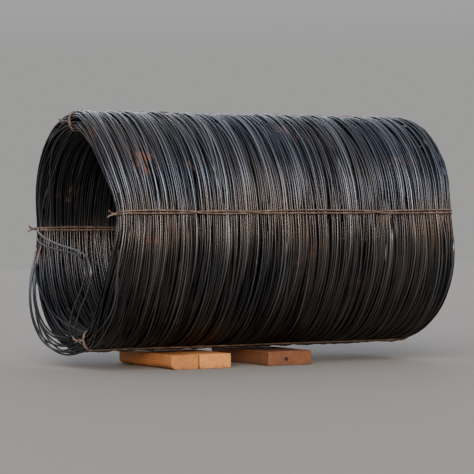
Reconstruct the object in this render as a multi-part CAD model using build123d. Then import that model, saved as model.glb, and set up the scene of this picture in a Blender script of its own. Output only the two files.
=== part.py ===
from build123d import *
import math
import os

# A coil of steel wire rod lies on its side on three sawn timber bearers.
# Four doubled wire ties hold it, and a few loose turns hang from its open end.
# X runs along the coil, with the open end at -X. Z is up, and the floor is z = 0.
# All sizes are in millimetres.

# Coil
COIL_OUTER_DIAMETER = 1250.0
COIL_WALL = 125.0
COIL_LENGTH = 1955.0
ROD_DIAMETER = 10.0

# Turns that show on the two ends
END_RIDGES = 3
RIDGE_DEPTH = 9.0
END_CROWN = 36.0
CROWN_POWER = 2.4

# Grooves between the bundles of turns on the outside
BUNDLE_GROOVES = 4
GROOVE_DEPTH = 9.0
GROOVE_HALF_WIDTH = 9.0
GROOVE_STRAY = 46.0
GROOVE_STRAY_STEP = 137.0

# Ties, each wound twice round the wall of the coil
TIE_DIAMETER = 9.0
STRAND_SPACING = 8.4
STRAND_SIDES = 6
TIE_CORNER_RADIUS = 42.0
TIE_CORNER_LIMIT = 0.45
TIE_BELOW_OUTSIDE = 5.0
TIE_BEHIND_BORE = 6.5
TIE_INTO_DIP = 1.0
TAIL_RISE = 13.0
TAIL_BEND_RADIUS = 30.0
TAIL_BEND_DEGREES = 60.0
TAIL_SHIFT = 14.0

# Where each tie sits, in degrees from the front (-Y) side upward,
# and how far it pulls in the near end and the far end, as shares of the deepest pull
TIE_PULL = 50.0
TIES = {
    "tie_wire_front": (8.0, 1.00, 0.64),
    "tie_wire_top": (93.0, 0.52, 0.68),
    "tie_wire_back": (178.0, 0.72, 0.60),
    "tie_wire_bottom": (283.0, 0.64, 0.72),
}
DIP_RADIUS = 430.0
DIP_HALF_DEGREES = 38.0
DIP_SHOULDER = 48.0
SHOULDER_RUN_OUT = 4.0
DIP_MARGIN = 90.0
BITE_APOTHEM = 16.0

# Loose turns at the open end, between the bottom tie and the back tie.
# Each point is an angle, how far it stands beyond the end, and its level in the wall:
# 0 is the bore and 1 is the outside.
LOOSE_REACH = 40.0
LOOSE_SIDES = 6
LOOSE_TURNS = [
    ((275.0, -52.0, 0.74), (228.0, 35.0, 1.16), (186.0, -52.0, 0.64)),
    ((274.0, -52.0, 0.58), (236.0, 24.0, 1.28), (188.0, -52.0, 0.78)),
    ((272.0, -49.0, 0.34), (217.0, 20.0, 0.66), (189.5, -49.0, 0.42)),
]

# Timber bearers: width, and the gap to the one before it
TIMBER_THICKNESS = 75.0
TIMBER_LENGTH = 700.0
TIMBER_EDGE = 4.0
TIMBER_WANE = 26.0
TIMBERS = {
    "timber_bearer_left": (150.0, 0.0),
    "timber_bearer_middle": (175.0, 6.0),
    "timber_bearer_right": (250.0, 211.0),
}
FIRST_TIMBER_EDGE = 415.0
WANED_TIMBER = "timber_bearer_left"

SEAT_CLEARANCE = 0.3

outer_radius = COIL_OUTER_DIAMETER / 2
bore_radius = outer_radius - COIL_WALL
near_end = -(COIL_LENGTH - LOOSE_REACH) / 2
far_end = near_end + COIL_LENGTH
axis_height = TIMBER_THICKNESS + SEAT_CLEARANCE + outer_radius
rod_radius = ROD_DIAMETER / 2
tie_radius = TIE_DIAMETER / 2
tie_height = COIL_WALL - TIE_BELOW_OUTSIDE - TIE_BEHIND_BORE
tie_corner = min(TIE_CORNER_RADIUS, TIE_CORNER_LIMIT * tie_height)


def around(x, radius, degrees):
    """A point beside the coil's axis, at an angle from the front upward."""
    angle = math.radians(degrees)
    return Vector(x, -radius * math.cos(angle), axis_height + radius * math.sin(angle))


def tie_floors(near_share, far_share):
    """The floors of the hollows that one tie pulls into the near and the far end."""
    return near_end + TIE_PULL * near_share, far_end - TIE_PULL * far_share


def tie_plane(degrees):
    """The plane of one tie: x along the coil, y outward from its axis."""
    outward = around(0, 1, degrees) - around(0, 0, degrees)
    along = Vector(1, 0, 0)
    return Plane(origin=(0, 0, axis_height), x_dir=along, z_dir=along.cross(outward))


def end_points(end, inward):
    """The zigzag of turns on one end, from the bore out to the outside."""
    points = []
    for step in range(2 * END_RIDGES + 1):
        share = step / (2 * END_RIDGES)
        crown = END_CROWN * abs(2 * share - 1) ** CROWN_POWER
        valley = RIDGE_DEPTH if step % 2 == 0 else 0.0
        points.append((end + inward * (crown + valley), bore_radius + COIL_WALL * share))
    return points


def groove_points():
    """Shallow grooves between the bundles, unevenly spaced, from the far end back."""
    points = []
    pitch = (COIL_LENGTH - 2 * END_CROWN) / (BUNDLE_GROOVES + 1)
    for number in range(BUNDLE_GROOVES, 0, -1):
        stray = GROOVE_STRAY * math.sin(math.radians(number * GROOVE_STRAY_STEP))
        middle = near_end + END_CROWN + pitch * number + stray
        points.append((middle + GROOVE_HALF_WIDTH, outer_radius))
        points.append((middle, outer_radius - GROOVE_DEPTH))
        points.append((middle - GROOVE_HALF_WIDTH, outer_radius))
    return points


def turned_coil():
    """The profile of the wall turned about the coil's axis."""
    near = end_points(near_end, 1)
    far = end_points(far_end, -1)
    outline = far + groove_points() + near[::-1]
    section = make_face(Polyline(*outline, close=True))
    return Pos(0, 0, axis_height) * revolve(Plane.XZ * section, Axis.X, 360)


def end_dip(floor, inward, plane):
    """The hollow that one tie pulls into one end, round over the outer edge."""
    outside = floor - inward * DIP_MARGIN
    brow = outer_radius + SHOULDER_RUN_OUT
    shoulder = brow - DIP_SHOULDER
    top = outer_radius + DIP_MARGIN
    low = bore_radius - DIP_MARGIN
    corner = ThreePointArc(
        (floor, shoulder),
        (
            floor + inward * DIP_SHOULDER * (1 - math.sqrt(0.5)),
            shoulder + DIP_SHOULDER * math.sqrt(0.5),
        ),
        (floor + inward * DIP_SHOULDER, brow),
    )
    rest = Polyline(
        (floor + inward * DIP_SHOULDER, brow),
        (floor + inward * DIP_SHOULDER, top),
        (outside, top),
        (outside, low),
        (floor, low),
        (floor, shoulder),
    )
    section = make_face((corner + rest).edges())
    pivot = plane.from_local_coords(Vector(floor - inward * DIP_RADIUS, 0, 0))
    hinge = Axis(pivot, plane.y_dir)
    first_side = (plane * section).rotate(hinge, -DIP_HALF_DEGREES)
    return revolve(first_side, hinge, 2 * DIP_HALF_DEGREES)


def tie_frame(near_floor, far_floor, plane, grow=0.0):
    """The closed path of one tie, or that path moved outward by grow."""
    left = near_floor + TIE_INTO_DIP - grow
    right = far_floor - TIE_INTO_DIP + grow
    low = bore_radius + TIE_BEHIND_BORE - grow
    high = outer_radius - TIE_BELOW_OUTSIDE + grow
    middle = Pos((left + right) / 2, (low + high) / 2)
    frame = RectangleRounded(right - left, high - low, tie_corner + grow)
    return (plane * (middle * frame)).face().outer_wire()


def strand_section():
    """Two strands side by side, pressed together on the side that meets the coil."""
    flat_down = 180 / STRAND_SIDES
    one = RegularPolygon(tie_radius, STRAND_SIDES, major_radius=False, rotation=flat_down)
    pressed = Pos(tie_radius / 2, 0) * Rectangle(tie_radius, STRAND_SPACING)
    return Pos(0, STRAND_SPACING / 2) * one + Pos(0, -STRAND_SPACING / 2) * one + pressed


def along_path(section, path, first_side):
    """Sweep a section, drawn round its own origin, along a path."""
    start = Plane(origin=path @ 0, x_dir=first_side, z_dir=path % 0)
    return sweep(start * section, path)


def tail(start, outward, sideways):
    """One cut end of a tie: it rises from the twist and bends aside."""
    knee = start + outward * TAIL_RISE
    rise = Line(start, knee)
    centre = knee + sideways * TAIL_BEND_RADIUS
    half = math.radians(TAIL_BEND_DEGREES / 2)
    full = math.radians(TAIL_BEND_DEGREES)
    middle = centre + (outward * math.sin(half) - sideways * math.cos(half)) * TAIL_BEND_RADIUS
    tip = centre + (outward * math.sin(full) - sideways * math.cos(full)) * TAIL_BEND_RADIUS
    path = Wire([rise.edge(), ThreePointArc(knee, middle, tip).edge()])
    section = RegularPolygon(tie_radius, STRAND_SIDES, major_radius=False)
    return along_path(section, path, sideways)


def tie(name):
    """One tie: two strands round the wall, closed at the near end by two tails."""
    degrees, near_share, far_share = TIES[name]
    plane = tie_plane(degrees)
    near_floor, far_floor = tie_floors(near_share, far_share)
    path = tie_frame(near_floor, far_floor, plane)
    loop = along_path(strand_section(), path, plane.z_dir.cross(path % 0))
    near = near_floor + TIE_INTO_DIP
    middle = (outer_radius + bore_radius) / 2
    outward = Vector(-1, 0, 0)
    shape = loop
    for side in (-1, 1):
        spot = Vector(near, middle + side * TAIL_SHIFT, side * STRAND_SPACING / 2)
        shape += tail(plane.from_local_coords(spot), outward, plane.z_dir * side)
    return shape


def tie_bite(name):
    """The groove that a tie presses into the turns, all round the wall."""
    degrees, near_share, far_share = TIES[name]
    plane = tie_plane(degrees)
    near_floor, far_floor = tie_floors(near_share, far_share)
    grow = BITE_APOTHEM - tie_radius - SEAT_CLEARANCE
    path = tie_frame(near_floor, far_floor, plane, grow)
    section = RegularPolygon(BITE_APOTHEM, 6, major_radius=False, rotation=30)
    return along_path(section, path, plane.z_dir.cross(path % 0))


def place(spot):
    """A loose turn's point, from its angle, its stand-off and its level in the wall."""
    degrees, beyond, level = spot
    return around(near_end - beyond, bore_radius + level * COIL_WALL, degrees)


def loose_turns():
    """The turns that hang from the open end, each rooted in the wall at both ends."""
    section = RegularPolygon(rod_radius, LOOSE_SIDES)
    turns = []
    for first, top, last in LOOSE_TURNS:
        path = Wire([ThreePointArc(place(first), place(top), place(last)).edge()])
        turns.append(along_path(section, path, Vector(1, 0, 0).cross(path % 0)))
    return turns


def wire_coil():
    """The whole coil: the turned wall, pulled in at its ties, with its loose turns."""
    coil = turned_coil()
    for degrees, near_share, far_share in TIES.values():
        plane = tie_plane(degrees)
        near_floor, far_floor = tie_floors(near_share, far_share)
        coil -= end_dip(near_floor, 1, plane)
        coil -= end_dip(far_floor, -1, plane)
    for name in TIES:
        coil -= tie_bite(name)
    for turn in loose_turns():
        coil += turn
    return coil


def timbers():
    """The sawn bearers side by side, from the open end on."""
    shapes = {}
    edge = near_end + FIRST_TIMBER_EDGE
    for name, (width, gap) in TIMBERS.items():
        edge += gap
        middle = Pos(edge + width / 2, 0, TIMBER_THICKNESS / 2)
        timber = middle * Box(width, TIMBER_LENGTH, TIMBER_THICKNESS)
        long_edges = timber.edges().filter_by(Axis.Y)
        if name == WANED_TIMBER:
            waned = long_edges.group_by(Axis.Z)[0].sort_by(Axis.X)[0]
            timber = chamfer(waned, TIMBER_WANE)
            long_edges = timber.edges().filter_by(Axis.Y).group_by(Axis.Z)[-1]
        shapes[name] = chamfer(long_edges, TIMBER_EDGE)
        edge += width
    return shapes


def main():
    os.makedirs("parts", exist_ok=True)
    nodes = {"wire_coil": wire_coil()}
    for name in TIES:
        nodes[name] = tie(name)
    nodes.update(timbers())
    for name, shape in nodes.items():
        export_step(shape, f"parts/{name}.step")


main()
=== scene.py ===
import math

import bpy
import numpy as np
from mathutils import Matrix, Vector


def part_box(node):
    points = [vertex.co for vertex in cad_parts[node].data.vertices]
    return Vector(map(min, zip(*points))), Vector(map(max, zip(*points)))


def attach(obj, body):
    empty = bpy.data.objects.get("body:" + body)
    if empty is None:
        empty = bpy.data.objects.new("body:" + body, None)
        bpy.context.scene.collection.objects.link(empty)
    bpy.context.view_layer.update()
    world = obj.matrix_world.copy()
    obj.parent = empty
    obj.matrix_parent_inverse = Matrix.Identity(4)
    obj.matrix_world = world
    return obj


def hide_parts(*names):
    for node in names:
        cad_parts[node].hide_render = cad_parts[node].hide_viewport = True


# The looks of a coil of steel wire rod on timber bearers.
# The frame's axes: X along the coil with its open end at -X, Z up, metres.
# Angles round the coil start at the front (-Y) side and rise towards the top.

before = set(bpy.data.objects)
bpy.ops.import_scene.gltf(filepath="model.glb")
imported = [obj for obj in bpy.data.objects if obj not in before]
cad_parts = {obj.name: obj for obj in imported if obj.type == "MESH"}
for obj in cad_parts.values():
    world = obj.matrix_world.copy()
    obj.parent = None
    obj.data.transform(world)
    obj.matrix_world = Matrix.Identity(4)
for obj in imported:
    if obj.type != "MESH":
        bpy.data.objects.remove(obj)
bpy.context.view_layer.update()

# Coil: its place and its outer size come from the frame
coil_low, coil_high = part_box("wire_coil")
OUTER_RADIUS = (coil_high.z - coil_low.z) / 2
AXIS_HEIGHT = (coil_high.z + coil_low.z) / 2
BORE_RADIUS = 0.500
LOOSE_REACH = 0.040
NEAR_END = coil_low.x + LOOSE_REACH
FAR_END = coil_high.x
ROD_RADIUS = 0.005
WALL_MIDDLE = (OUTER_RADIUS + BORE_RADIUS) / 2
HALF_WALL = (OUTER_RADIUS - BORE_RADIUS) / 2 - ROD_RADIUS

# Each tie: its angle in degrees, and how far it pulls in the near end and the far end
TIES = {
    "tie_wire_front": (8.0, 0.050, 0.032),
    "tie_wire_top": (93.0, 0.026, 0.034),
    "tie_wire_back": (178.0, 0.036, 0.030),
    "tie_wire_bottom": (283.0, 0.032, 0.036),
}

# The ends between the ties: an angle in degrees, and how far the turns stand back there
NEAR_BULGES = ((52.0, -0.004), (135.0, 0.012), (230.0, 0.010), (325.0, 0.000))
FAR_BULGES = ((50.0, 0.000), (136.0, 0.004), (228.0, 0.002), (325.0, 0.000))
DIP_SHARPNESS = 0.65
GRIP_DEGREES = 7.0

# Tie wire, and how deep it lies under the outside and behind the bore
TIE_RADIUS = 0.0045
TIE_CORNER = 0.042
TIE_BELOW_OUTSIDE = 0.0095
TIE_BEHIND_BORE = 0.0105
TIE_STEP = 0.008
TIE_LENS = 0.003
TIE_BED = TIE_RADIUS * 2 + ROD_RADIUS + 0.001
TIE_SIDES = 8
TIE_STRIP = 90
TIE_SWAY = 0.0018
TIE_END_CLEARANCE = 0.001

# The twist that closes a tie: where it starts and ends off the coil, its turn, and its tails
KNOT_START = 0.004
KNOT_END = 0.028
KNOT_TURN = 2.2 * math.pi
TAIL_BEND_RADIUS = 0.022
TAIL_BEND_DEGREES = 78

# Where the two strands of each tie cross, as shares of its way round the wall
TIE_CROSSINGS = {
    "tie_wire_front": (0.11, 0.19, 0.37, 0.55, 0.80),
    "tie_wire_top": (0.14, 0.31, 0.42, 0.63, 0.88),
    "tie_wire_back": (0.21, 0.49, 0.86),
    "tie_wire_bottom": (0.17, 0.52, 0.77),
}

# Loose turns at the open end, as arcs: angle, stand-off beyond the end, level in the wall
LOOSE_ARCS = (
    ((275, -0.052, 0.74), (228, 0.034, 1.16), (186, -0.052, 0.64)),
    ((274, -0.052, 0.58), (236, 0.024, 1.28), (188, -0.052, 0.78)),
    ((272, -0.049, 0.34), (217, 0.020, 0.66), (189.5, -0.049, 0.42)),
    ((276, -0.056, 0.86), (232, 0.010, 1.20), (190, -0.056, 0.55)),
    ((271, -0.050, 0.48), (222, 0.031, 1.02), (187, -0.050, 0.36)),
    ((273, -0.060, 0.90), (240, -0.004, 1.12), (184, -0.056, 0.86)),
    ((270, -0.052, 0.62), (226, 0.012, 0.88), (191, -0.052, 0.50)),
    ((277, -0.046, 0.20), (206, 0.001, 0.40), (187, -0.046, 0.18)),
)

# Loops that sprang inward, across the open end: x beyond the end, y, height above the axis
INNER_LOOPS = (
    ((-0.055, -0.075, -0.580), (0.000, -0.032, -0.520), (0.012, -0.090, -0.410), (0.012, -0.215, -0.295),
     (0.010, -0.268, -0.215), (0.008, -0.205, -0.135), (0.008, -0.065, -0.108), (0.006, 0.150, -0.090),
     (0.000, 0.380, -0.062), (-0.022, 0.520, -0.024), (-0.058, 0.566, 0.006)),
    ((-0.058, -0.120, -0.572), (0.002, -0.110, -0.520), (0.018, -0.195, -0.415), (0.020, -0.320, -0.305),
     (0.020, -0.378, -0.215), (0.018, -0.330, -0.138), (0.016, -0.200, -0.100), (0.012, 0.060, -0.070),
     (0.004, 0.330, -0.030), (-0.024, 0.510, 0.012), (-0.060, 0.560, 0.034)),
    ((-0.058, 0.030, -0.560), (0.000, 0.020, -0.530), (0.006, 0.180, -0.452), (0.008, 0.350, -0.340),
     (0.004, 0.470, -0.235), (-0.020, 0.525, -0.140), (-0.058, 0.560, -0.070)),
)
LOOSE_STEP = 0.018
LOOSE_SIDES = 8
LOOSE_WEAR = 0.9

# The strand: turns, points on each turn, sides of the rod, and pieces that share it
TURNS = 830
SAMPLES = 60
ROD_SIDES = 6
PIECES = 5
SEED = 41

# How the rings are laid: how far a ring's offset creeps round from the last, in radians,
# how much less than the wall's play it may be, and how oval and how tilted rings are
RING_CREEP = 2.45
RING_CREEP_SPREAD = 0.35
RING_PLAY = 0.22
OVAL_SPREAD = 0.004
TILT_WAVES = (1.3, 2.7, 4.9, 8.3, 13.1)
TILT = 0.006
OWN_TILT = 0.0045

# Wavelength of a bundle pattern, how tight it packs the turns (1 closes a gap fully),
# and how far it leans through the wall, in waves
BUNDLES = (
    (0.029, 0.6, 0.4),
    (0.041, 0.9, -0.5),
    (0.067, 0.4, 0.7),
    (0.113, 0.25, -0.8),
    (0.190, 0.1, 0.7),
)

# How the turns settle: rounds, how many turns on they can touch, the share of each push
# that is taken, and how many points of stiff rod share it, at first and in the last rounds
ROUNDS = 100
LAST_ROUNDS = 12
TOUCHING = 13
EASE_ALONG = 0.35
EASE_ACROSS = 0.6
STIFFNESS = 5
LAST_STIFFNESS = 2
WIDEST_GAP = 0.0098
LOW_PLACE_DEPTH = 0.013
LOW_PLACE_SHARE = 0.3
LOW_PLACE_WAVES = (0.036, 0.055, 0.13)

# Ends: how the turns crowd there, and how round the wall's end is
END_SQUEEZE = 0.75
END_SQUEEZE_RUN = 0.012
END_FADE = 0.20
NOSE_DEPTH = 0.045
NOSE_POWER = 2.6

# Rust patch: x, angle in degrees and size. Turns are rubbed lighter near the surface and grow darker down to
# a depth under it, a painted shade in the grooves;
# those in the bore are darker than those outside, a painted shade in the bore.
RUST_PATCH = (-0.745, 34.0, 0.075)
WORN_AND_SHADED_DEPTH = 0.022
BORE_WEAR_AND_SHADE = 0.65

# Timbers: mesh cell, broken edge, wane and the unevenness of sawn faces
WANED_TIMBER = "timber_bearer_left"
TIMBER_CELL = 0.009
TIMBER_EDGE = 0.0035
TIMBER_EDGE_STRAY = 0.0018
WANE = 0.027
END_ROUNDING = 0.002
FACE_DENTS = ((0.0005, (0.043, 0.071, 0.016)), (0.0010, (0.31, 0.19)))
END_CHIPS = (0.0012, (0.013, 0.021, 0.034))
GROWTH_RING = 0.0075
PALE_DIRT = (0.080, 0.055, 0.038)
RED_DIRT = (0.050, 0.032, 0.023)

# Each timber: slot, pith beside its middle in x and z, early and late wood, dirt,
# and knots as x, y and z beside its middle with their size
WOODS = {
    "timber_bearer_left": (
        "pale_timber", (0.030, -0.110), (0.42, 0.185, 0.064), (0.26, 0.090, 0.025), PALE_DIRT,
        ((-0.020, -0.33, -0.004, 0.010), (0.050, -0.10, 0.030, 0.012)),
    ),
    "timber_bearer_middle": (
        "pale_timber", (-0.020, 0.150), (0.55, 0.250, 0.085), (0.36, 0.130, 0.036), PALE_DIRT,
        ((0.060, 0.12, 0.030, 0.011), (-0.070, 0.34, 0.000, 0.009)),
    ),
    "timber_bearer_right": (
        "red_timber", (0.040, -0.150), (0.170, 0.070, 0.031), (0.077, 0.026, 0.012), RED_DIRT,
        ((-0.022, -0.345, -0.004, 0.013), (0.055, 0.20, 0.030, 0.012)),
    ),
}

# Lights: the place that a light comes from, its strength, its width in degrees and its colour
SUNS = {
    "sky_light": ((-6.0, -10.0, 7.4), 3.5, 42, (0.86, 0.93, 1.0)),
    "warm_light": ((-5.0, -10.0, 2.4), 3.2, 25, (1.0, 0.70, 0.43)),
    "back_light": ((4.0, 10.0, 5.0), 0.8, 40, (0.90, 0.94, 1.0)),
}

# Sky: the height of a direction, from 0 at the horizon to 1 overhead, and its colour
SKY = (
    (0.0, (0.29, 0.285, 0.28)),
    (0.10, (0.29, 0.285, 0.28)),
    (0.30, (0.52, 0.57, 0.66)),
    (0.75, (0.60, 0.67, 0.80)),
)
SKY_STRENGTH = 1.3
FLOOR_COLOUR = (0.222, 0.200, 0.176)
FLOOR_REACH = 40

# Camera: the photograph's viewpoint, with a longer lens that fills the frame
CAMERA_PLACE = Vector((-4.350, -9.115, 0.630))
CAMERA_AIM = Vector((-0.005, 0.0, 0.665))
CAMERA_LENS = 145.0
CAMERA_ROLL = -0.6

rng = np.random.default_rng(SEED)


def wrapped(angle):
    """An angle in radians brought to the range from -pi to pi."""
    return (angle + np.pi) % (2 * np.pi) - np.pi


def angles():
    """The sample angles of one turn."""
    return np.arange(SAMPLES) / SAMPLES * 2 * np.pi


def smooth_series(values):
    """Per-turn values joined by smooth steps, at each sample of each turn."""
    share = np.arange(SAMPLES) / SAMPLES
    ease = share * share * (3 - 2 * share)
    following = np.append(values[1:], values[-1])
    return values[:, None] * (1 - ease) + following[:, None] * ease


def end_line(dips, bulges):
    """How far the turns stand back from an end at each sample angle.

    dips and bulges give (degrees, depth): deep at the ties, shallow between them.
    """
    marks = sorted([(math.radians(a) % (2 * math.pi), d) for a, d in [*dips, *bulges]])
    marks.append((marks[0][0] + 2 * math.pi, marks[0][1]))
    theta = angles()
    depth = np.zeros(SAMPLES)
    for (a0, d0), (a1, d1) in zip(marks, marks[1:]):
        for turn in (0, 2 * math.pi):
            inside = (theta + turn >= a0) & (theta + turn < a1)
            share = (theta[inside] + turn - a0) / (a1 - a0)
            ease = 0.5 - 0.5 * np.cos(np.pi * share)
            # a tie's dip is narrower than the bulge beside it
            ease = ease**DIP_SHARPNESS if d0 > d1 else 1 - (1 - ease) ** DIP_SHARPNESS
            depth[inside] = d0 + (d1 - d0) * ease
    return depth


def tie_grip():
    """1 at a tie and 0 away from the ties, at each sample angle."""
    theta = angles()
    grip = np.zeros(SAMPLES)
    for degrees, _, _ in TIES.values():
        away = wrapped(theta - math.radians(degrees))
        grip = np.maximum(grip, np.exp(-((away / math.radians(GRIP_DEGREES)) ** 2)))
    return grip


near_depth = end_line([(d, near) for d, near, _ in TIES.values()], NEAR_BULGES)
far_depth = end_line([(d, far) for d, _, far in TIES.values()], FAR_BULGES)
grip = tie_grip()


def nose(radius):
    """How far the rounded end falls back at a radius across the wall."""
    share = np.clip(np.abs(radius - WALL_MIDDLE) / HALF_WALL, 0, 1)
    return NOSE_DEPTH * (1 - (1 - share**NOSE_POWER) ** (1 / NOSE_POWER))


def waves(x, theta, wavelengths, windings):
    """A smooth random field over the coil's surface, from -1 to 1."""
    field = np.zeros(np.broadcast(x, theta).shape)
    for wavelength in wavelengths:
        winding = rng.integers(-windings, windings + 1)
        field += np.sin(2 * np.pi * x / wavelength + winding * theta + rng.uniform(0, 6.3))
    return field / len(wavelengths)


def first_turns():
    """The strand before it settles: its share of the way along, its stray in x and its radius."""
    theta = angles()
    # each ring lies a little off centre, and that offset creeps round turn by turn
    drift = np.cumsum(RING_CREEP + rng.normal(0, RING_CREEP_SPREAD, TURNS))
    offset = HALF_WALL * (1 - RING_PLAY * rng.beta(1.0, 3.0, TURNS))
    spare = HALF_WALL - offset
    size = WALL_MIDDLE + spare * rng.uniform(-1, 1, TURNS)
    oval = rng.normal(0, OVAL_SPREAD, TURNS)
    oval_at = rng.uniform(0, 2 * np.pi, TURNS)
    radius = (
        smooth_series(size)
        + smooth_series(offset) * np.cos(theta - smooth_series(drift))
        + smooth_series(oval) * np.cos(2 * (theta - smooth_series(oval_at)))
    )
    # along the coil: a tilt that changes slowly and a tilt of each ring's own
    share = (np.arange(TURNS)[:, None] + np.arange(SAMPLES) / SAMPLES) / TURNS
    stray = np.zeros((TURNS, SAMPLES))
    for k in TILT_WAVES:
        lean = np.cos(theta - rng.uniform(0, 6.3))
        stray += TILT * np.cos(2 * np.pi * k * share + rng.uniform(0, 6.3)) * lean
    own = rng.normal(0, OWN_TILT, TURNS)
    own_at = rng.uniform(0, 2 * np.pi, TURNS)
    stray += smooth_series(own) * np.cos(theta - smooth_series(own_at))
    # bundles: the pitch is tight in some places and open in others
    length = FAR_END - NEAR_END
    level = (radius - WALL_MIDDLE) / (2 * HALF_WALL)
    for wavelength, tightness, lean in BUNDLES:
        winding = rng.integers(-1, 2)
        bend = 0.6 * np.sin(2 * theta + rng.uniform(0, 6.3))
        bend = bend + 0.5 * np.sin(3 * theta + rng.uniform(0, 6.3))
        wave = 2 * np.pi * (share * length / wavelength + lean * level) + winding * theta + bend
        stray += tightness * wavelength / (2 * np.pi) * np.sin(wave + rng.uniform(0, 6.3))
    return share, stray, np.clip(radius, WALL_MIDDLE - HALF_WALL, WALL_MIDDLE + HALF_WALL)


def end_limits(radius):
    """The lowest and highest x that a turn may have at a radius."""
    low = NEAR_END + ROD_RADIUS + near_depth + nose(radius) + grip * TIE_BED
    high = FAR_END - ROD_RADIUS - far_depth - nose(radius) - grip * TIE_BED
    return low, high


def along_strand(values, half_width):
    """Values averaged along the strand, from each turn into the next."""
    flat = values.reshape(-1)
    kernel = np.hanning(2 * half_width + 3)[1:-1]
    kernel /= kernel.sum()
    padded = np.pad(flat, half_width, mode="edge")
    return np.convolve(padded, kernel, mode="valid").reshape(values.shape)


def packed_ends(share):
    """The turns lie closer together at both ends, where the ties pull them in."""
    most = END_SQUEEZE * END_SQUEEZE_RUN
    first = most * (1 - np.exp(-share / END_SQUEEZE_RUN))
    last = most * (1 - np.exp(-(1 - share) / END_SQUEEZE_RUN))
    return (share - first + last - most) / (1 - 2 * most)


def settle(x, radius):
    """Pushes crossing turns apart, as stiff rods, and closes gaps that would go through the wall."""
    diameter = 2 * ROD_RADIUS
    columns = np.arange(SAMPLES)[None, :]
    uneven = waves(x, angles(), LOW_PLACE_WAVES, 2)
    outer = WALL_MIDDLE + HALF_WALL - grip * (TIE_BELOW_OUTSIDE + TIE_BED - ROD_RADIUS)
    outer = outer - LOW_PLACE_DEPTH * np.clip(LOW_PLACE_SHARE + uneven, 0, None)
    inner = WALL_MIDDLE - HALF_WALL + grip * (TIE_BEHIND_BORE + TIE_BED - ROD_RADIUS)
    for number in range(ROUNDS):
        order = np.argsort(x, axis=0)
        xs = x[order, columns]
        rs = radius[order, columns]
        push_x = np.zeros_like(xs)
        push_r = np.zeros_like(rs)
        for step in range(1, TOUCHING + 1):
            dx = xs[step:] - xs[:-step]
            dr = rs[step:] - rs[:-step]
            gap = np.sqrt(dx * dx + dr * dr) + 1e-9
            near = np.clip(diameter - gap, 0, None)
            if not near.any():
                break
            px = 0.5 * near * dx / gap
            pr = 0.5 * near * np.where(np.abs(dr) < 1e-6, 1.0, dr / gap)
            push_x[step:] += px
            push_x[:-step] -= px
            push_r[step:] += pr
            push_r[:-step] -= pr
        wide = np.clip(np.diff(xs, axis=0) - WIDEST_GAP, 0, None)
        push_x[1:] -= 0.5 * wide
        push_x[:-1] += 0.5 * wide
        back_x = np.empty_like(push_x)
        back_r = np.empty_like(push_r)
        back_x[order, columns] = push_x
        back_r[order, columns] = push_r
        half_width = STIFFNESS if number < ROUNDS - LAST_ROUNDS else LAST_STIFFNESS
        x = x + EASE_ALONG * along_strand(back_x, half_width)
        radius = radius + EASE_ACROSS * along_strand(back_r, half_width)
        radius = np.clip(radius, inner, outer)
        low, high = end_limits(radius)
        x = np.clip(x, low, high)
    return along_strand(x, LAST_STIFFNESS), along_strand(radius, LAST_STIFFNESS)


def wound_strand():
    """The whole strand: x and radius for each turn and sample angle."""
    share, stray, radius = first_turns()
    low, high = end_limits(np.full_like(radius, WALL_MIDDLE))
    mean_low = low.mean()
    mean_high = high.mean()
    even = mean_low + packed_ends(share) * (mean_high - mean_low)
    fade_low = np.exp(-(even - mean_low) / END_FADE)
    fade_high = np.exp(-(mean_high - even) / END_FADE)
    x = even + stray * (1 - fade_low**3) * (1 - fade_high**3)
    x = x + (low - mean_low) * fade_low + (high - mean_high) * fade_high
    return settle(x, radius)


def fill_ramp(node, stops):
    """Sets a colour ramp's stops; each is a place and a colour or a grey."""
    elements = node.color_ramp.elements
    while len(elements) < len(stops):
        elements.new(0.5)
    for element, (position, colour) in zip(elements, stops):
        element.position = position
        element.color = (*colour, 1) if isinstance(colour, tuple) else (colour, colour, colour, 1)


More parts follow.
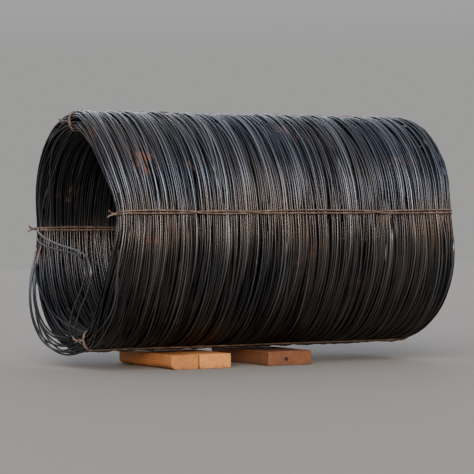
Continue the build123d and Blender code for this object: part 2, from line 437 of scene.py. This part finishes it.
class Nodes:
    """A short way to write a material's node tree."""

    def __init__(self, name):
        self.material = bpy.data.materials.new(name)
        self.material.use_nodes = True
        self.tree = self.material.node_tree
        self.shader = self.tree.nodes["Principled BSDF"]

    def feed(self, socket, value):
        """Links an output into a socket, or sets the socket's own value."""
        if isinstance(value, bpy.types.NodeSocket):
            self.tree.links.new(value, socket)
        elif isinstance(value, tuple) and socket.type == "RGBA":
            socket.default_value = (*value, 1)
        else:
            socket.default_value = value

    def add(self, kind, settings, inputs):
        """A node with its settings, and its inputs by name or number."""
        node = self.tree.nodes.new(kind)
        for key, value in settings.items():
            setattr(node, key, value)
        for key, value in inputs.items():
            self.feed(node.inputs[key], value)
        return node

    def attribute(self, name):
        return self.add("ShaderNodeAttribute", {"attribute_name": name}, {}).outputs["Fac"]

    def place(self):
        return self.add("ShaderNodeTexCoord", {}, {}).outputs["Object"]

    def stretched(self, vector, scale):
        """A vector with each axis scaled, so that a texture is longer one way."""
        return self.add("ShaderNodeVectorMath", {"operation": "MULTIPLY"}, {0: vector, 1: scale}).outputs[0]

    def distance(self, vector, centre, scale):
        """How far a place is from a centre, with each axis scaled first."""
        away = self.add("ShaderNodeVectorMath", {"operation": "SUBTRACT"}, {0: vector, 1: centre}).outputs[0]
        away = self.stretched(away, scale)
        return self.add("ShaderNodeVectorMath", {"operation": "LENGTH"}, {0: away}).outputs["Value"]

    def noise(self, vector, scale, detail=3.0, roughness=0.55):
        inputs = {"Vector": vector, "Scale": scale, "Detail": detail, "Roughness": roughness}
        return self.add("ShaderNodeTexNoise", {}, inputs).outputs["Fac"]

    def ramp(self, factor, *stops):
        """A factor turned into the colours of a ramp."""
        node = self.add("ShaderNodeValToRGB", {}, {"Fac": factor})
        fill_ramp(node, stops)
        return node.outputs["Color"]

    def mix(self, factor, first, second):
        inputs = {0: factor, 6: first, 7: second}
        return self.add("ShaderNodeMix", {"data_type": "RGBA"}, inputs).outputs[2]

    def maths(self, operation, first, second=0.0):
        return self.add("ShaderNodeMath", {"operation": operation}, {0: first, 1: second}).outputs[0]

    def weighted(self, first, weight, other, other_weight):
        """The sum of two values, each with its weight."""
        first = self.maths("MULTIPLY", first, weight)
        return self.maths("ADD", first, self.maths("MULTIPLY", other, other_weight))

    def bump(self, height, strength, distance):
        inputs = {"Height": height, "Strength": strength, "Distance": distance}
        normal = self.add("ShaderNodeBump", {}, inputs).outputs["Normal"]
        self.feed(self.shader.inputs["Normal"], normal)

    def along(self):
        """Coordinates that run along a rod: metres along it, and one number per strand."""
        inputs = {"X": self.attribute("run"), "Y": self.attribute("strand_key")}
        return self.add("ShaderNodeCombineXYZ", {}, inputs).outputs[0]


def rod_steel():
    """Hot-rolled rod: blue-grey mill scale, rubbed light outside, dusty, with rust, and painted shade:
    darker in the grooves and the bore, and darker towards the ground.
    """
    n = Nodes("rod_steel")
    place = n.place()
    streak = n.noise(n.along(), 2.5, 4.0, 0.6)
    shade = n.weighted(n.attribute("turn_tone"), 0.40, streak, 0.30)
    # the wear tone: rubbed, lighter turns outside, with painted shade on the turns deep in the grooves and
    # in the bore
    shade = n.maths("ADD", shade, n.maths("MULTIPLY", n.attribute("wear_and_shade"), 0.30))
    dark_scale = (0.014, 0.015, 0.018)
    middle_scale = (0.058, 0.062, 0.072)
    light_scale = (0.21, 0.22, 0.24)
    scale = n.ramp(shade, (0.25, dark_scale), (0.55, middle_scale), (0.85, light_scale))
    dust = n.ramp(n.noise(place, 2.2, 4.0, 0.6), (0.42, 0.0), (0.68, 1.0))
    warm = n.mix(n.maths("MULTIPLY", dust, 0.5), scale, (0.060, 0.043, 0.031))
    patch = n.ramp(n.noise(place, 5.5, 5.0, 0.62), (0.60, 0.0), (0.72, 1.0))
    spots = n.ramp(n.noise(n.along(), 18.0, 3.0, 0.7), (0.42, 0.0), (0.62, 1.0))
    x, degrees, reach = RUST_PATCH
    middle = tuple(in_space(x, OUTER_RADIUS, math.radians(degrees)))
    away = n.maths("DIVIDE", n.distance(place, middle, (1.0, 0.7, 0.7)), reach * 2)
    ragged = n.maths("SUBTRACT", n.noise(place, 30.0, 3.0), 0.5)
    away = n.maths("ADD", away, n.maths("MULTIPLY", ragged, 0.9))
    patch = n.maths("MAXIMUM", patch, n.ramp(away, (0.25, 1.0), (0.55, 0.0)))
    rust = n.maths("MULTIPLY", patch, spots)
    colour = n.mix(n.maths("MULTIPLY", rust, 0.8), warm, (0.115, 0.042, 0.020))
    # painted shade: the steel is darkened towards the ground, more the lower it lies, for the shade under
    # the coil
    height = n.add("ShaderNodeSeparateXYZ", {}, {0: place}).outputs["Z"]
    grime_and_shade = n.ramp(height, (0.10, 0.70), (0.64, 0.0))
    colour = n.mix(grime_and_shade, colour, (0.0100, 0.0095, 0.0090))
    n.feed(n.shader.inputs["Base Color"], colour)
    rough = n.weighted(streak, 0.25, rust, 0.3)
    n.feed(n.shader.inputs["Roughness"], n.maths("ADD", rough, 0.20))
    cover = n.maths("MAXIMUM", rust, n.maths("MULTIPLY", dust, 0.3))
    n.feed(n.shader.inputs["Metallic"], n.maths("SUBTRACT", 0.9, n.maths("MULTIPLY", cover, 0.8)))
    n.bump(n.noise(place, 900.0, 2.0), 0.1, 0.0003)
    return n.material


def tie_steel():
    """Tie wire: older and browner than the rod."""
    n = Nodes("tie_steel")
    place = n.place()
    stain = n.noise(place, 28.0, 4.0, 0.65)
    dark_stain = (0.042, 0.031, 0.026)
    middle_stain = (0.088, 0.060, 0.047)
    light_stain = (0.18, 0.130, 0.098)
    colour = n.ramp(stain, (0.35, dark_stain), (0.50, middle_stain), (0.68, light_stain))
    n.feed(n.shader.inputs["Base Color"], colour)
    rough = n.maths("MULTIPLY", n.noise(place, 60.0), 0.3)
    n.feed(n.shader.inputs["Roughness"], n.maths("ADD", rough, 0.45))
    n.shader.inputs["Metallic"].default_value = 0.2
    n.bump(n.noise(place, 500.0, 3.0), 0.15, 0.0004)
    return n.material


def sawn_wood(node, pith, early, late, dirt, knots):
    """Rough-sawn wood: growth rings round a pith, fibres and saw marks along it, checks and dirt."""
    low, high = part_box(node)
    middle = (low + high) / 2
    centre = (middle.x + pith[0], 0.0, middle.z + pith[1])
    n = Nodes(node.replace("timber_bearer", "wood"))
    place = n.place()
    warp = n.noise(n.stretched(place, (9.0, 1.3, 9.0)), 1.0, 3.0)
    reach = n.distance(place, centre, (1.0, 0.0, 1.0))
    reach = n.maths("ADD", reach, n.maths("MULTIPLY", warp, 0.030))
    heart = None
    for x, y, z, size in knots:
        away = n.distance(place, (middle.x + x, y, middle.z + z), (1.0, 0.55, 1.0))
        swell = n.ramp(n.maths("DIVIDE", away, size * 4), (0.0, 1.0), (0.45, 0.35), (1.0, 0.0))
        reach = n.maths("ADD", reach, n.maths("MULTIPLY", swell, size))
        spot = n.ramp(n.maths("DIVIDE", away, size * 2), (0.30, 1.0), (0.55, 0.0))
        heart = spot if heart is None else n.maths("MAXIMUM", heart, spot)
    ring = n.maths("FRACT", n.maths("DIVIDE", reach, GROWTH_RING))
    ring = n.ramp(ring, (0.0, 0.0), (0.75, 0.55), (0.93, 1.0), (1.0, 0.1))
    broad = n.noise(n.stretched(place, (22.0, 2.0, 30.0)), 1.0, 4.0, 0.6)
    fibre = n.noise(n.stretched(place, (420.0, 16.0, 420.0)), 1.0, 3.0, 0.7)
    tone = n.weighted(ring, 0.50, broad, 0.60)
    tone = n.maths("ADD", tone, n.maths("MULTIPLY", n.maths("SUBTRACT", fibre, 0.5), 0.35))
    between = tuple(0.5 * (a + b) for a, b in zip(early, late))
    colour = n.ramp(tone, (0.22, early), (0.50, between), (0.78, late))
    colour = n.mix(heart, colour, tuple(0.22 * c for c in late))
    # checks that open at the two ends and run outward from the pith
    split = n.add("ShaderNodeSeparateXYZ", {}, {0: place})
    across = n.maths("SUBTRACT", split.outputs["X"], centre[0])
    up = n.maths("SUBTRACT", split.outputs["Z"], centre[2])
    bearing = n.maths("ARCTAN2", across, up)
    spread = {"X": n.maths("MULTIPLY", bearing, 14.0), "Y": n.maths("MULTIPLY", warp, 0.8)}
    spoke = n.add("ShaderNodeCombineXYZ", {}, spread)
    turn = n.noise(spoke.outputs[0], 1.0, 2.0)
    check = n.ramp(n.maths("ABSOLUTE", n.maths("SUBTRACT", turn, 0.5)), (0.0, 1.0), (0.014, 0.0))
    length = n.ramp(n.noise(place, 26.0, 2.0), (0.50, 0.0), (0.56, 1.0))
    ends = n.ramp(n.maths("ABSOLUTE", split.outputs["Y"]), (0.30, 0.0), (0.36, 1.0))
    check = n.maths("MULTIPLY", n.maths("MULTIPLY", check, length), ends)
    colour = n.mix(n.maths("MULTIPLY", check, 0.75), colour, tuple(0.18 * c for c in late))
    # dirt that rose from the ground and lies in the rough places
    grime_and_shade = n.noise(place, 14.0, 5.0, 0.65)
    rise = n.ramp(split.outputs["Z"], (0.0, 0.62), (0.03, 0.34), (0.075, 0.42))
    grime_and_shade = n.ramp(n.maths("ADD", grime_and_shade, n.maths("SUBTRACT", rise, 0.5)), (0.42, 0.0), (0.78, 0.8))
    colour = n.mix(grime_and_shade, colour, dirt)
    n.feed(n.shader.inputs["Base Color"], colour)
    n.feed(n.shader.inputs["Roughness"], n.maths("ADD", n.maths("MULTIPLY", fibre, 0.25), 0.62))
    saw = n.maths("SINE", n.weighted(split.outputs["Y"], 760.0, warp, 9.0))
    height = n.maths("ADD", n.maths("MULTIPLY", saw, 0.12), fibre)
    height = n.maths("ADD", height, n.maths("MULTIPLY", ring, 0.3))
    height = n.maths("SUBTRACT", height, n.maths("MULTIPLY", check, 2.0))
    n.shader.inputs["Specular IOR Level"].default_value = 0.25
    n.bump(height, 0.6, 0.0012)
    return n.material


def floor_paint():
    """The floor's dull plain paint."""
    n = Nodes("floor_pale")
    n.shader.inputs["Base Color"].default_value = (*FLOOR_COLOUR, 1)
    n.shader.inputs["Roughness"].default_value = 0.85
    n.shader.inputs["Specular IOR Level"].default_value = 0.1
    return n.material


def tube_rings(points, normals, radius, sides):
    """The rings of a tube's vertices [n, sides, 3] along points [n, 3]."""
    tangent = np.gradient(points, axis=0)
    tangent /= np.linalg.norm(tangent, axis=1, keepdims=True)
    first = normals - (normals * tangent).sum(1, keepdims=True) * tangent
    first /= np.linalg.norm(first, axis=1, keepdims=True)
    second = np.cross(tangent, first)
    around = np.arange(sides) / sides * 2 * np.pi
    ring = np.cos(around)[None, :, None] * first[:, None] + np.sin(around)[None, :, None] * second[:, None]
    return points[:, None] + radius * ring


def tube_quads(count, sides):
    """The faces of a tube, as vertex numbers [steps, sides, 4]."""
    row = np.arange(count - 1)[:, None] * sides
    side = np.arange(sides)[None, :]
    side_next = (side + 1) % sides
    return np.stack([row + side, row + side_next, row + sides + side_next, row + sides + side], axis=-1)


def tube_map(count, sides, per_strip):
    """The tube's own map: a strip for every per_strip steps. Corners [steps, sides, 4, 2], and strips."""
    step = np.arange(count - 1)
    left = (step % per_strip) / per_strip
    right = left + 1 / per_strip
    across = 0.08 + 0.84 * np.arange(sides + 1) / sides
    strip = (step // per_strip)[:, None]
    corners = np.empty((count - 1, sides, 4, 2))
    corners[:, :, :2, 0] = left[:, None, None]
    corners[:, :, 2:, 0] = right[:, None, None]
    corners[:, :, 0, 1] = corners[:, :, 3, 1] = strip + across[None, :-1]
    corners[:, :, 1, 1] = corners[:, :, 2, 1] = strip + across[None, 1:]
    return corners, math.ceil((count - 1) / per_strip)


def tube_piece(name, tubes, radius, sides, per_strip):
    """One object of several tubes with closed ends; each tube is its points, normals, and its tone of wear
    and painted shade.
    """
    verts, faces, corners, run, key, tone, worn_and_shaded = [], [], [], [], [], [], []
    caps, cap_at = [], []
    first_vert = 0
    first_strip = 0
    for points, normals, wear_and_shade in tubes:
        count = len(points)
        worn_and_shaded.append(np.repeat(np.broadcast_to(wear_and_shade, count), sides))
        verts.append(tube_rings(points, normals, radius, sides).reshape(-1, 3))
        faces.append(tube_quads(count, sides).reshape(-1) + first_vert)
        uv, strips = tube_map(count, sides, per_strip)
        uv[..., 1] += first_strip
        corners.append(uv.reshape(-1, 2))
        caps += [np.arange(sides)[::-1] + first_vert, (count - 1) * sides + np.arange(sides) + first_vert]
        cap_at += [first_strip + 0.01, first_strip + strips - 0.01]
        steps = np.linalg.norm(np.diff(points, axis=0), axis=1)
        tones = rng.beta(1.4, 1.4, strips + 2)
        run.append(np.repeat(np.concatenate([[0], np.cumsum(steps)]), sides))
        key.append(np.full(count * sides, rng.uniform(0, 900)))
        tone.append(np.repeat(np.interp(np.arange(count) / per_strip, np.arange(len(tones)), tones), sides))
        first_vert += count * sides
        first_strip += strips
    corners = np.concatenate(corners + [np.full((sides, 2), (0.001, at)) for at in cap_at])
    corners[:, 1] /= first_strip
    loops = np.concatenate(faces + caps)
    quads = sum(len(face) for face in faces) // 4
    starts = np.concatenate([np.arange(quads) * 4, quads * 4 + np.arange(len(caps)) * sides])
    mesh = bpy.data.meshes.new(name)
    mesh.vertices.add(first_vert)
    mesh.vertices.foreach_set("co", np.concatenate(verts).astype(np.float32).ravel())
    mesh.loops.add(len(loops))
    mesh.loops.foreach_set("vertex_index", loops.astype(np.int32))
    mesh.polygons.add(len(starts))
    mesh.polygons.foreach_set("loop_start", starts.astype(np.int32))
    mesh.polygons.foreach_set("use_smooth", np.ones(len(starts), dtype=bool))
    mesh.update(calc_edges=True)
    for label, values in (("run", run), ("strand_key", key), ("turn_tone", tone), ("wear_and_shade", worn_and_shaded)):
        layer = mesh.attributes.new(label, "FLOAT", "POINT")
        layer.data.foreach_set("value", np.concatenate(values).astype(np.float32))
    layer = mesh.uv_layers.new(name="OFBake")
    layer.data.foreach_set("uv", corners.astype(np.float32).ravel())
    return linked(name, mesh)


def linked(name, data):
    """A mesh, a light or a camera as an object in the scene."""
    made = bpy.data.objects.new(name, data)
    bpy.context.scene.collection.objects.link(made)
    return made


def in_space(x, radius, theta):
    """Frame positions from x, radius and angle arrays."""
    return np.stack([x, -radius * np.cos(theta), AXIS_HEIGHT + radius * np.sin(theta)], axis=-1)


def wire_turns():
    """The strand in a few pieces, each a run of whole turns."""
    x, radius = wound_strand()
    theta = np.broadcast_to(angles(), x.shape)
    points = in_space(x, radius, theta).reshape(-1, 3)
    outward = in_space(np.zeros_like(x), np.ones_like(x), theta).reshape(-1, 3)
    outward[:, 2] -= AXIS_HEIGHT
    # turns at the outside are rubbed and lighter; turns deeper in the grooves are darker, a painted shade,
    # and turns in the bore are darker still, a painted shade in the bore
    depth = HALF_WALL - np.abs(radius - WALL_MIDDLE)
    bore_wear_and_shade = np.where(radius < WALL_MIDDLE, BORE_WEAR_AND_SHADE, 1.0)
    wear_and_shade = (bore_wear_and_shade * np.clip(1 - depth / WORN_AND_SHADED_DEPTH, 0, 1)).reshape(-1)
    edges = np.linspace(0, TURNS, PIECES + 1).astype(int) * SAMPLES
    made = []
    for number, (start, end) in enumerate(zip(edges[:-1], edges[1:]), 1):
        end = min(end + 1, len(points))
        tube = (points[start:end], outward[start:end], wear_and_shade[start:end])
        made.append(tube_piece(f"wire_turns_{number}", [tube], ROD_RADIUS, ROD_SIDES, SAMPLES))
    return made


def smooth_line(points, step):
    """A smooth line through a few points, evenly divided (a centripetal Catmull-Rom spline)."""
    points = np.asarray(points, dtype=float)
    padded = np.concatenate([[2 * points[0] - points[1]], points, [2 * points[-1] - points[-2]]])
    knots = np.concatenate([[0], np.cumsum(np.sqrt(np.linalg.norm(np.diff(padded, axis=0), axis=1)))])
    pieces = []
    for i in range(1, len(padded) - 2):
        t0, t1, t2, t3 = knots[i - 1:i + 3]
        t = np.linspace(t1, t2, 24, endpoint=False)[:, None]
        p0, p1, p2, p3 = padded[i - 1:i + 3]
        a1 = (t1 - t) / (t1 - t0) * p0 + (t - t0) / (t1 - t0) * p1
        a2 = (t2 - t) / (t2 - t1) * p1 + (t - t1) / (t2 - t1) * p2
        a3 = (t3 - t) / (t3 - t2) * p2 + (t - t2) / (t3 - t2) * p3
        b1 = (t2 - t) / (t2 - t0) * a1 + (t - t0) / (t2 - t0) * a2
        b2 = (t3 - t) / (t3 - t1) * a2 + (t - t1) / (t3 - t1) * a3
        pieces.append((t2 - t) / (t2 - t1) * b1 + (t - t1) / (t2 - t1) * b2)
    return evenly(np.concatenate(pieces + [points[-1:]]), step)


def evenly(line, step):
    """A line divided into equal steps."""
    run = np.concatenate([[0], np.cumsum(np.linalg.norm(np.diff(line, axis=0), axis=1))])
    places = np.linspace(0, run[-1], max(2, round(run[-1] / step) + 1))
    return np.stack([np.interp(places, run, line[:, k]) for k in range(line.shape[1])], axis=-1)


def arc_through(first, middle, last, step):
    """A circle's arc through three points."""
    a, b, c = (np.array(p, dtype=float) for p in (first, middle, last))
    u = b - a
    v = c - a
    normal = np.cross(u, v)
    size = normal @ normal
    centre = a + (np.cross(normal, u) * (v @ v) + np.cross(v, normal) * (u @ u)) / (2 * size)
    radius = np.linalg.norm(a - centre)
    across = (a - centre) / radius
    up = np.cross(normal / math.sqrt(size), across)
    end = math.atan2((c - centre) @ up, (c - centre) @ across) % (2 * math.pi)
    turn = np.linspace(0, end, max(8, round(end * radius / step)))[:, None]
    return centre + radius * (np.cos(turn) * across + np.sin(turn) * up)


def loose_turns():
    """The turns that hang from the open end, outside the wall and across the bore."""
    along = np.array([1.0, 0.03, 0.02])
    tubes = []
    for arc in LOOSE_ARCS:
        places = []
        for degrees, beyond, level in arc:
            radius = BORE_RADIUS + level * (OUTER_RADIUS - BORE_RADIUS)
            places.append(in_space(NEAR_END - beyond, radius, math.radians(degrees)))
        line = arc_through(*places, LOOSE_STEP)
        tubes.append((line, np.broadcast_to(along, line.shape), LOOSE_WEAR))
    for loop in INNER_LOOPS:
        places = [(NEAR_END - beyond, y, AXIS_HEIGHT + height) for beyond, y, height in loop]
        line = smooth_line(places, LOOSE_STEP)
        tubes.append((line, np.broadcast_to(along, line.shape), LOOSE_WEAR))
    return tube_piece("loose_turns", tubes, ROD_RADIUS, LOOSE_SIDES, SAMPLES)


def round_frame(left, right, low, high, corner):
    """A rounded rectangle of x and radius, from the middle of its left side outward."""
    quarter = np.linspace(0, math.pi / 2, 16)
    corners = (
        (left + corner, high - corner, math.pi),
        (right - corner, high - corner, math.pi / 2),
        (right - corner, low + corner, 0.0),
        (left + corner, low + corner, -math.pi / 2),
    )
    middle = (left, (low + high) / 2)
    line = [middle]
    for cx, cy, start in corners:
        line += [(cx + corner * math.cos(start - q), cy + corner * math.sin(start - q)) for q in quarter]
    return evenly(np.array(line + [middle]), TIE_STEP)


def tie_lap(name):
    """One lap of a tie: the middle line, the outward way, and its two strands' half-twist and spread."""
    degrees, near, far = TIES[name]
    line = round_frame(
        NEAR_END + near + TIE_END_CLEARANCE,
        FAR_END - far - TIE_END_CLEARANCE,
        BORE_RADIUS + TIE_BEHIND_BORE,
        OUTER_RADIUS - TIE_BELOW_OUTSIDE,
        TIE_CORNER,
    )
    tangent = np.gradient(line, axis=0)
    tangent /= np.linalg.norm(tangent, axis=1, keepdims=True)
    outward = np.stack([-tangent[:, 1], tangent[:, 0]], axis=-1)
    share = np.linspace(0, 1, len(line))
    twist = np.zeros(len(line))
    nearest = np.minimum(share, 1 - share)
    for crossing in TIE_CROSSINGS[name]:
        ease = np.clip((share - crossing) / 0.022 + 0.5, 0, 1)
        twist += math.pi * ease * ease * (3 - 2 * ease)
        nearest = np.minimum(nearest, np.abs(share - crossing))
    spread = TIE_RADIUS * 1.03 + TIE_LENS * (1 - np.exp(-((nearest / 0.03) ** 2)))
    return line, outward, twist, spread


def tie(name):
    """One tie: a wire wound twice round the wall, its two ends twisted together and cut."""
    line, outward, twist, spread = tie_lap(name)
    angle = math.radians(TIES[name][0])
    radial = np.array([0.0, -math.cos(angle), math.sin(angle)])
    across = np.array([0.0, math.sin(angle), math.cos(angle)])
    along = np.array([1.0, 0.0, 0.0])
    axis = np.array([0.0, 0.0, AXIS_HEIGHT])
    sway = TIE_SWAY * np.sin(np.linspace(0, 9 * math.pi, len(line)) + angle)
    middle = axis + line[:, :1] * along + line[:, 1:] * radial + sway[:, None] * across
    out = outward[:, :1] * along + outward[:, 1:] * radial
    way = np.cos(twist)[:, None] * across + np.sin(twist)[:, None] * out
    first_lap = middle + spread[:, None] * way
    second_lap = middle - spread[:, None] * way
    # the two ends: a twist that stands off the end of the coil, then two bent tails
    knot = middle[0]
    rise = np.linspace(KNOT_START, KNOT_END, 12)[:, None]
    turned = KNOT_TURN * (rise - KNOT_START) / (KNOT_END - KNOT_START)
    bend = np.linspace(0, math.radians(TAIL_BEND_DEGREES), 10)[1:, None]
    ends = []
    for side in (1, -1):
        spin = side * (np.cos(turned) * across + np.sin(turned) * radial) * TIE_RADIUS * 1.05
        stem = knot - rise * along + spin
        aside = side * (math.cos(KNOT_TURN) * across + math.sin(KNOT_TURN) * radial)
        tail = stem[-1] + TAIL_BEND_RADIUS * ((1 - np.cos(bend)) * aside - np.sin(bend) * along)
        ends.append(np.concatenate([stem, tail]))
    whole = np.concatenate([ends[0][::-1], first_lap[1:-1], second_lap[1:-1], ends[1]])
    whole = evenly(whole, TIE_STEP * 0.6)
    kernel = np.array([1, 2, 3, 2, 1]) / 9
    padded = np.pad(whole, ((2, 2), (0, 0)), mode="edge")
    whole = np.stack([np.convolve(padded[:, k], kernel, mode="valid") for k in range(3)], axis=-1)
    normals = np.broadcast_to(across + 0.02 * along, whole.shape)
    return tube_piece(name + "_strands", [(whole, normals, 1.0)], TIE_RADIUS, TIE_SIDES, TIE_STRIP)


def timber_outline(half, rounds, counts):
    """A timber's outline [n, 2] from its lower left corner on, each corner with its own rounding."""
    arcs = []
    for number, (sign, reach) in enumerate(zip(((-1, -1), (1, -1), (1, 1), (-1, 1)), rounds)):
        centre = np.array(sign) * (half - reach)
        turn = math.pi + number * math.pi / 2 + np.linspace(0, math.pi / 2, 6)
        arcs.append(centre + reach * np.stack([np.cos(turn), np.sin(turn)], axis=-1))
    outline = []
    for number, arc in enumerate(arcs):
        side = np.linspace(arc[-1], arcs[(number + 1) % 4][0], counts[number % 2] + 1)[1:-1]
        outline += [arc, side]
    return np.concatenate(outline)


def ripple(position, wavelengths, seeds):
    """A smooth uneven field from 0 to 1 over positions [..., 3]."""
    field = np.zeros(position.shape[:-1])
    for wavelength, seed in zip(wavelengths, seeds):
        way = np.array([math.cos(seed), 0.8 * math.sin(1.7 * seed), math.sin(seed)])
        field += np.sin(2 * math.pi * position @ way / wavelength + 5 * seed)
    return 0.5 + 0.5 * field / len(wavelengths)


def timber(name):
    """A rough-sawn timber in its node's place: uneven faces, worn edges, and wane on one."""
    low, high = (np.array(corner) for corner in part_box(name))
    half = (high - low) / 2
    middle = (high + low) / 2
    seeds = rng.uniform(0, 6.3, 8)
    counts = (round(2 * half[0] / TIMBER_CELL), round(2 * half[2] / TIMBER_CELL))
    rings = []
    for y in np.linspace(half[1], -half[1], round(2 * half[1] / TIMBER_CELL) + 1):
        stray = [math.sin(31 * y + seed) * math.sin(9 * y + 2 * seed) for seed in seeds[:4]]
        rounds = [TIMBER_EDGE + TIMBER_EDGE_STRAY * share for share in stray]
        if name == WANED_TIMBER:
            rounds[0] = WANE + 0.004 * math.sin(8 * y + seeds[0]) + 0.002 * math.sin(29 * y)
        flat = timber_outline(half[[0, 2]], rounds, counts)
        rings.append(np.insert(flat, 1, y, axis=1))
    front, back = rings[-1], rings[0]
    shrink = [np.array([share, 1.0, share]) for share in (0.97, 0.72, 0.46, 0.2)]
    rings[0] = back * (1, 1 - END_ROUNDING / half[1], 1)
    rings[-1] = front * (1, 1 - END_ROUNDING / half[1], 1)
    rings = [back * scale for scale in shrink[::-1]] + rings + [front * scale for scale in shrink]
    verts = np.array(rings)
    (fine_depth, fine), (broad_depth, broad) = FACE_DENTS
    dent = fine_depth * ripple(verts, fine, seeds[:3]) + broad_depth * ripple(verts, broad, seeds[3:5])
    chip_depth, chip = END_CHIPS
    chips = chip_depth * ripple(verts, chip, seeds[5:8])
    verts = verts * (1 - np.stack([dent / half[0], chips / half[1], dent / half[2]], axis=-1))
    sides = verts.shape[1]
    quads = tube_quads(len(verts), sides).reshape(-1, 4)
    ends = [list(range(sides))[::-1], list(range((len(verts) - 1) * sides, len(verts) * sides))]
    mesh = bpy.data.meshes.new(name + "_sawn")
    mesh.from_pydata((verts + middle).reshape(-1, 3).tolist(), [], quads.tolist() + ends)
    mesh.polygons.foreach_set("use_smooth", np.ones(len(mesh.polygons), dtype=bool))
    mesh.set_sharp_from_angle(angle=math.radians(32))
    return linked(name + "_sawn", mesh)


def camera():
    """The photograph's viewpoint, a little rolled."""
    data = bpy.data.cameras.new("camera")
    data.lens = CAMERA_LENS
    made = linked("camera", data)
    made.location = CAMERA_PLACE
    made.rotation_mode = "QUATERNION"
    look = (CAMERA_AIM - CAMERA_PLACE).to_track_quat("-Z", "Y")
    roll = Matrix.Rotation(math.radians(CAMERA_ROLL), 4, "Z").to_quaternion()
    made.rotation_quaternion = look @ roll
    bpy.context.scene.camera = made


def sun_light(name, place, strength, softness, colour):
    """A soft even light from the direction of a place, so that the floor is as bright far off."""
    data = bpy.data.lights.new(name, "SUN")
    data.energy = strength
    data.angle = math.radians(softness)
    data.color = colour
    made = linked(name, data)
    made.rotation_mode = "QUATERNION"
    made.rotation_quaternion = (-Vector(place)).to_track_quat("-Z", "Y")


def pale_floor():
    """A plain floor that reaches to the horizon."""
    mesh = bpy.data.meshes.new("floor")
    signs = ((-1, -1), (1, -1), (1, 1), (-1, 1))
    mesh.from_pydata([(x * FLOOR_REACH, y * FLOOR_REACH, 0) for x, y in signs], [], [(0, 1, 2, 3)])
    mesh.materials.append(floor_paint())
    linked("floor", mesh)


def soft_sky():
    """A soft sky: grey at the horizon, and bluer and brighter overhead."""
    world = bpy.data.worlds.new("studio")
    bpy.context.scene.world = world
    world.use_nodes = True
    tree = world.node_tree
    coords = tree.nodes.new("ShaderNodeTexCoord")
    split = tree.nodes.new("ShaderNodeSeparateXYZ")
    tree.links.new(coords.outputs["Generated"], split.inputs[0])
    ramp = tree.nodes.new("ShaderNodeValToRGB")
    tree.links.new(split.outputs["Z"], ramp.inputs["Fac"])
    fill_ramp(ramp, SKY)
    background = tree.nodes["Background"]
    tree.links.new(ramp.outputs["Color"], background.inputs["Color"])
    background.inputs["Strength"].default_value = SKY_STRENGTH


def finished(piece, material, node):
    """Gives a piece its material and its place in the frame."""
    piece.data.materials.append(material)
    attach(piece, "root")
    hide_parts(node)


camera()
steel = rod_steel()
for piece in wire_turns() + [loose_turns()]:
    finished(piece, steel, "wire_coil")
old_wire = tie_steel()
for name in TIES:
    finished(tie(name), old_wire, name)
for name, (slot, *wood) in WOODS.items():
    finished(timber(name), sawn_wood(name, *wood), name)

pale_floor()
soft_sky()
for name, settings in SUNS.items():
    sun_light(name, *settings)
